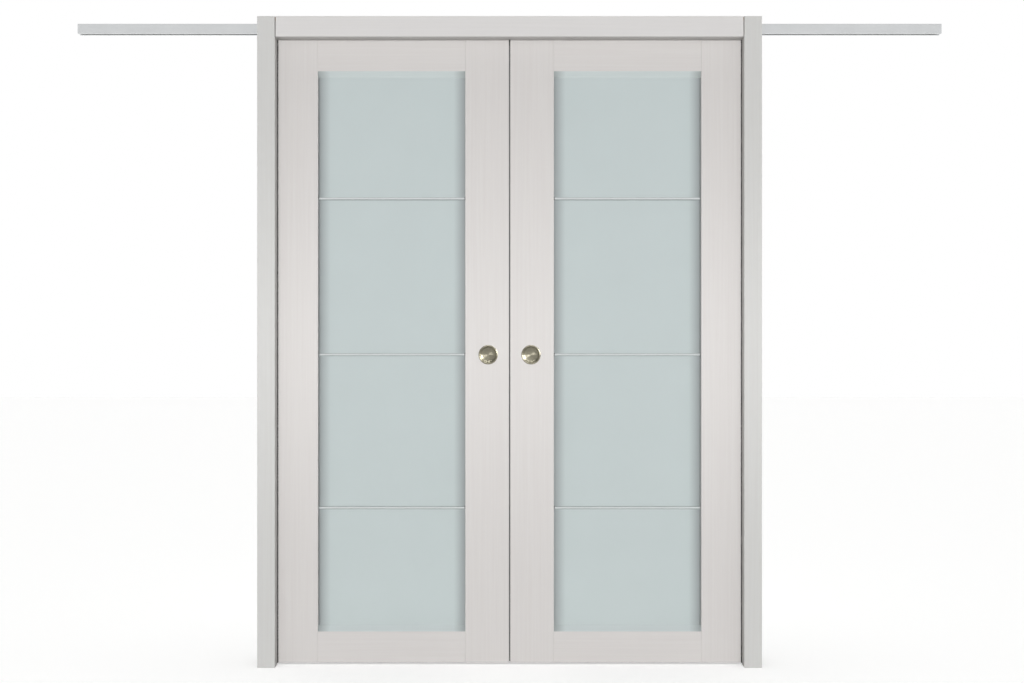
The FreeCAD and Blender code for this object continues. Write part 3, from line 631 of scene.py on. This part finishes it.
# Pulls
# A spun nickel-plated cup with a rolled rim is pressed into both faces of each meeting stile.
# Spinning leaves fine rings round the axis, so the sheen gathers into a bow tie across the cup.
RING = 0.00045
HANDLING_MARK = 0.00625
pulls = bpy.data.collections.new("pulls")
for side in SIDES:
    for face in FACES:
        name = f"{side}_pull_{face}"
        low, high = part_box(name)
        centre = (low + high) / 2
        nickel, tree = new_material(f"spun_satin_nickel_{side}_{face}")
        place = add(tree, "ShaderNodeTexCoord").outputs["Object"]
        from_axis = add(tree, "ShaderNodeMapping",
                        {"Vector": place, "Location": (-centre.x, 0, -centre.z), "Scale": (1, 0, 1)})
        radius = add(tree, "ShaderNodeVectorMath", {0: from_axis.outputs[0]}, operation="LENGTH")
        turns = add(tree, "ShaderNodeMath", {0: radius.outputs["Value"], 1: 1 / RING}, operation="MULTIPLY")
        rings = add(tree, "ShaderNodeTexNoise", {"W": turns.outputs[0], "Scale": 1.0, "Detail": 2.0},
                    noise_dimensions="1D")
        handling = add(tree, "ShaderNodeTexNoise",
                       {"Vector": place, "Scale": 1 / HANDLING_MARK, "Detail": 2.0})
        tint = add(tree, "ShaderNodeMix",
                   {0: handling.outputs[0], 6: linear("#938f7f"), 7: linear("#7f7b6c")}, data_type="RGBA")
        sheen = add(tree, "ShaderNodeMapRange", {0: rings.outputs[0], 1: 0.3, 2: 0.7, 3: 0.34, 4: 0.46})
        relief = add(tree, "ShaderNodeBump",
                     {"Height": rings.outputs[0], "Strength": 0.12, "Distance": 0.00004})
        round_axis = add(tree, "ShaderNodeTangent", direction_type="RADIAL", axis="Y")
        shader = add(tree, "ShaderNodeBsdfPrincipled", {
            "Base Color": tint.outputs[2], "Metallic": 1.0, "Roughness": sheen.outputs[0],
            "Anisotropic": 0.85, "Anisotropic Rotation": 0.25, "Tangent": round_axis.outputs[0],
            "Normal": relief.outputs[0],
        })
        add(tree, "ShaderNodeOutputMaterial", {"Surface": shader.outputs[0]})
        dress(nickel, name)
        pulls.objects.link(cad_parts[name])


# Meeting seals
# A strip with a tongue is pushed into a groove in each meeting edge, and closes the gap between the leaves.
# It is extruded in the same matt black rubber as the track stops.
for side in SIDES:
    dress(rubber, f"{side}_meeting_seal")


# Hangers
# A pressed steel plate on the top of each stile hangs from a trolley, a block with two axles, in the track.
# Plates, trolleys and axle pins have the same zinc plate as the track screws.
for side in SIDES:
    dress(bright_zinc, f"{side}_hanger_plates", f"{side}_trolleys", f"{side}_axle_pins")


# Hanger bolts
# An M8 bolt comes up through each plate, where a nut locks it, and screws into the trolley.
# The thread is rolled, and head and nut are forged, with their corners turned off. All of it is zinc-plated.
# The blank is a share of the corner's radius, and the thread's depth and notch are in pitches.
BOLT_RADIUS = 0.004
BOLT_PITCH = 0.00125
BOLT_HEAD = 0.0053
NUT_HEIGHT = 0.004
NUT_PLAY = 0.0001
HEX_FLATS = 0.013
HEX_CHAMFER = 0.0009
HEX_BLANK = 1.01
ROUND_SIDES = 48
STEPS_A_TURN = 16
SPARE_TURNS = 3
THREAD_DEPTH = 0.6
NOTCH_TURNS = (-1.3, -0.8, -0.3)
WELD = 0.000002
plate_low, plate_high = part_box("right_hanger_plates")
fastener_low, fastener_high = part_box("right_hanger_fasteners")
hanger_places = []
for hanger in ("inner", "outer"):
    axles = [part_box(f"right_{hanger}_{axle}_wheels") for axle in ("lead", "trail")]
    hanger_places.append(sum(low.x + high.x for low, high in axles) / 4)


def thread(radius, pitch, low, high):
    """A threaded rod on the upright axis: one notch of its outline, wound up in a helix and cut square."""
    root = radius - THREAD_DEPTH * pitch
    bpy.ops.mesh.primitive_circle_add(vertices=len(NOTCH_TURNS), radius=radius, location=(0, 0, 0))
    rod = bpy.context.object
    for vertex, out, turns in zip(rod.data.vertices, (root, radius, root), NOTCH_TURNS):
        vertex.co = (out, 0, low + turns * pitch)
    pick_edges(rod, lambda end: end.x < (root + radius) / 2)
    bpy.ops.mesh.delete(type="EDGE")
    bpy.ops.object.mode_set(mode="OBJECT")
    winding = rod.modifiers.new("winding", "SCREW")
    winding.screw_offset = pitch
    winding.iterations = math.ceil((high - low) / pitch) + SPARE_TURNS
    winding.steps = STEPS_A_TURN
    winding.render_steps = STEPS_A_TURN
    bpy.ops.object.modifier_apply(modifier=winding.name)
    bpy.ops.object.mode_set(mode="EDIT")
    bpy.ops.mesh.select_all(action="SELECT")
    bpy.ops.mesh.remove_doubles(threshold=WELD)
    for height, up in ((low, -1), (high, 1)):
        bpy.ops.mesh.select_all(action="SELECT")
        bpy.ops.mesh.bisect(plane_co=(0, 0, height), plane_no=(0, 0, up), use_fill=True, clear_outer=True)
    bpy.ops.mesh.select_all(action="SELECT")
    bpy.ops.mesh.normals_make_consistent(inside=False)
    bpy.ops.object.mode_set(mode="OBJECT")
    return rod


def carve(piece, tool, operation):
    """Cut a piece with a tool, or keep only what lies in the tool. The tool is then thrown away."""
    carving = piece.modifiers.new("carving", "BOOLEAN")
    carving.operation = operation
    carving.object = tool
    bpy.context.view_layer.objects.active = piece
    bpy.ops.object.modifier_apply(modifier=carving.name)
    bpy.data.objects.remove(tool)


def turned_disc(radius, low, high, sides):
    """A round or many-sided disc on the upright axis."""
    bpy.ops.mesh.primitive_cylinder_add(vertices=sides, radius=radius, depth=high - low,
                                        location=(0, 0, (low + high) / 2))
    return settled()


def hexagon(low, high):
    """A forged hexagon with its corners turned off at both ends."""
    corner = HEX_FLATS / math.sqrt(3)
    blank = turned_disc(corner * HEX_BLANK, low, high, ROUND_SIDES)
    bevel = blank.modifiers.new("turned_corners", "BEVEL")
    bevel.width = HEX_CHAMFER
    bevel.segments = 1
    bpy.ops.object.modifier_apply(modifier=bevel.name)
    piece = turned_disc(corner, low - HEX_CHAMFER, high + HEX_CHAMFER, 6)
    carve(piece, blank, "INTERSECT")
    return piece


nut = hexagon(plate_high.z, plate_high.z + NUT_HEIGHT)
carve(nut, turned_disc(BOLT_RADIUS + NUT_PLAY, plate_low.z, fastener_high.z, ROUND_SIDES), "DIFFERENCE")
bolt = joined([
    hexagon(plate_low.z - BOLT_HEAD, plate_low.z), nut,
    thread(BOLT_RADIUS, BOLT_PITCH, plate_low.z - BOLT_HEAD / 4, fastener_high.z),
])
bolt.data.materials.clear()
bolt.data.materials.append(bright_zinc)
for side, across in SIDES.items():
    bolts = joined([copied(bolt, Matrix.Translation((across * along, 0, 0))) for along in hanger_places])
    bolts.name = f"{side}_hanger_bolts"
    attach(bolts, f"{side}_leaf")
    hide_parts(f"{side}_hanger_fasteners")
bpy.data.objects.remove(bolt)


# Plate screws
# Four countersunk wood screws hold each plate down on its stile, their heads flush with the plate.
# A cross is punched into the head, and the plating is the bolts'.
WOOD_SCREW_RADIUS = 0.002
WOOD_SCREW_HEAD = 0.004
WOOD_SCREW_PITCH = 0.0018
WOOD_SCREW_SIDES = 32
SHANK_SUNK = 0.0018
CROSS_LENGTH = 0.0046
CROSS_WIDTH = 0.0009
CROSS_DEPTH = 0.0014
SCREW_SPAN = 0.07
SCREW_SPREAD = 0.019
SCREW_TURN = 0.7
head_height = WOOD_SCREW_HEAD - WOOD_SCREW_RADIUS
bpy.ops.mesh.primitive_cone_add(vertices=WOOD_SCREW_SIDES, radius1=WOOD_SCREW_RADIUS,
                                radius2=WOOD_SCREW_HEAD, depth=head_height,
                                location=(0, 0, plate_high.z - head_height / 2))
head = settled()
for slot in ((CROSS_LENGTH, CROSS_WIDTH, 2 * CROSS_DEPTH), (CROSS_WIDTH, CROSS_LENGTH, 2 * CROSS_DEPTH)):
    bpy.ops.mesh.primitive_cube_add(size=1, location=(0, 0, plate_high.z), scale=slot)
    carve(head, settled(), "DIFFERENCE")
shank = thread(WOOD_SCREW_RADIUS, WOOD_SCREW_PITCH, fastener_low.z, plate_high.z - SHANK_SUNK)
screw = joined([head, shank])
screw.data.materials.clear()
screw.data.materials.append(bright_zinc)
for side, across in SIDES.items():
    made = []
    for place in hanger_places:
        for along in (-SCREW_SPAN / 2, SCREW_SPAN / 2):
            for deep in (-SCREW_SPREAD / 2, SCREW_SPREAD / 2):
                driven = Matrix.Rotation(len(made) * SCREW_TURN, 4, "Z")
                made.append(copied(screw, Matrix.Translation((across * place + along, deep, 0)) @ driven))
    screws = joined(made)
    screws.name = f"{side}_plate_screws"
    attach(screws, f"{side}_leaf")
    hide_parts(f"{side}_hanger_fasteners")
bpy.data.objects.remove(screw)


# Wheels
# Each trolley runs on four moulded wheels, two to an axle, with a dish round the hub.
# They are left in the natural nylon of the floor guides.
WHEELS = [f"{hanger}_{axle}_wheels" for hanger in ("inner", "outer") for axle in ("lead", "trail")]
for side in SIDES:
    dress(nylon, *[f"{side}_{wheels}" for wheels in WHEELS])


# Floor
# A plain pale studio floor. It shows white where it is lit, and the foot of the frame shades it.
# A little glow lifts it to white where it is seen, and adds no light to matt faces.
FLOOR_SIZE = 40.0
FLOOR_GLOW = 0.48


def seen_share(tree):
    """1 for rays that see the studio straight, in a gleam or through glass, and 0 for the rest."""
    path = add(tree, "ShaderNodeLightPath")
    straight = add(tree, "ShaderNodeMath",
                   {0: path.outputs["Is Camera Ray"], 1: path.outputs["Is Glossy Ray"]}, operation="ADD")
    seen = add(tree, "ShaderNodeMath", {0: straight.outputs[0], 1: path.outputs["Is Transmission Ray"]},
               operation="ADD", use_clamp=True)
    return seen.outputs[0]


bpy.ops.mesh.primitive_plane_add(size=FLOOR_SIZE, location=(0, 0, 0))
floor = bpy.context.object
floor.name = "studio_floor"
pale_floor, tree = new_material("pale_studio_floor")
lit = add(tree, "ShaderNodeBsdfDiffuse", {"Color": linear("#e7e7e6")})
lift = add(tree, "ShaderNodeMath", {0: seen_share(tree), 1: FLOOR_GLOW}, operation="MULTIPLY")
glow = add(tree, "ShaderNodeEmission", {"Color": (1, 1, 1, 1), "Strength": lift.outputs[0]})
both = add(tree, "ShaderNodeAddShader", {0: lit.outputs[0], 1: glow.outputs[0]})
add(tree, "ShaderNodeOutputMaterial", {"Surface": both.outputs[0]})
floor.data.materials.append(pale_floor)


# Light
# A soft studio: white walls all round under a dark ceiling, with a far lamp for each side of the object.
# A long lamp at half height brightens the middle of the leaves, and softboxes give the pulls their glint.
# Discs and spreads are in degrees, and the wall's top is the rise of a direction that looks at it.
WALL_TOP = (0.27, 0.7)
CEILING = 0.2
WALL_FILL = 0.35
LAMP_AIM = (0, 0, 1.05)
FAR_LAMPS = {
    "front": {"place": (0, -4, 1.11), "energy": 1.7, "disc": 1},
    "back": {"place": (0, 4, 1.11), "energy": 1.7, "disc": 1},
    "left": {"place": (-4, 0, 1.05), "energy": 1.1, "disc": 1},
    "right": {"place": (4, 0, 1.05), "energy": 1.1, "disc": 1},
    "top": {"place": (0, 0, 4), "energy": 1.5, "disc": 40},
}
LONG_LAMP = {"away": 2, "size": (4.0, 0.1), "spread": 43, "energy": 1.55}
SOFTBOX_AIM = (0, 0, 1.0)
SOFTBOXES = {
    "side": {"place": (2.2, 1.86, 1.8), "size": (1.3, 1.3), "energy": 190.0},
    "over": {"place": (0.3, 1.5, 3.2), "size": (3.2, 0.7), "energy": 75.0},
}
world = bpy.data.worlds.new("soft_studio")
scene.world = world
world.use_nodes = True
tree = world.node_tree
tree.nodes.clear()
direction = add(tree, "ShaderNodeTexCoord").outputs["Generated"]
upward = add(tree, "ShaderNodeSeparateXYZ", {0: direction}).outputs["Z"]
wall_level = add(tree, "ShaderNodeMapRange",
                 {0: upward, 1: WALL_TOP[0], 2: WALL_TOP[1], 3: 1.0, 4: CEILING},
                 interpolation_type="SMOOTHSTEP")
fill = add(tree, "ShaderNodeMapRange", {0: seen_share(tree), 3: WALL_FILL, 4: 1.0})
level = add(tree, "ShaderNodeMath", {0: wall_level.outputs[0], 1: fill.outputs[0]}, operation="MULTIPLY")
wall = add(tree, "ShaderNodeBackground", {"Color": (1, 1, 1, 1), "Strength": level.outputs[0]})
add(tree, "ShaderNodeOutputWorld", {"Surface": wall.outputs[0]})


def hang(lamp, place, aim, glossy):
    """Hang a lamp in the studio, aimed at a point, for matt or for glossy faces. It never shows itself."""
    holder = bpy.data.objects.new(lamp.name, lamp)
    holder.location = place
    holder.rotation_euler = (Vector(aim) - Vector(place)).to_track_quat("-Z", "Y").to_euler()
    holder.visible_camera = False
    holder.visible_transmission = False
    holder.visible_glossy = glossy
    holder.visible_diffuse = not glossy
    scene.collection.objects.link(holder)
    return holder


def panel(name, size, energy):
    """A flat lamp of a given width and height."""
    lamp = bpy.data.lights.new(name, "AREA")
    lamp.shape = "RECTANGLE"
    lamp.size, lamp.size_y = size
    lamp.energy = energy
    return lamp


for name, values in FAR_LAMPS.items():
    far = bpy.data.lights.new(f"far_lamp_{name}", "SUN")
    far.energy = values["energy"]
    far.angle = math.radians(values["disc"])
    hang(far, values["place"], LAMP_AIM, False)
for face, depth in FACES.items():
    long = panel(f"long_lamp_{face}", LONG_LAMP["size"], LONG_LAMP["energy"])
    long.spread = math.radians(LONG_LAMP["spread"])
    hang(long, (0, LONG_LAMP["away"] * depth, LAMP_AIM[2]), LAMP_AIM, False)
    for name, values in SOFTBOXES.items():
        across, away, height = values["place"]
        softbox = panel(f"{name}_softbox_{face}", values["size"], values["energy"])
        holder = hang(softbox, (-across * depth, away * depth, height), SOFTBOX_AIM, True)
        holder.light_linking.receiver_collection = pulls


# Camera
# It looks level and straight on, from about the height of the pulls.
# Its place across sets the line between the leaves a little left of the picture's middle.
CAMERA_PLACE = (0.0078, -4.2, 1.047)
LENS = 45.28
SENSOR_WIDTH = 36.0
camera_data = bpy.data.cameras.new("camera")
camera_data.lens = LENS
camera_data.sensor_width = SENSOR_WIDTH
camera = bpy.data.objects.new("camera", camera_data)
camera.location = CAMERA_PLACE
camera.rotation_euler = (math.radians(90), 0, 0)
scene.collection.objects.link(camera)
scene.camera = camera
scene.view_settings.view_transform = "Standard"
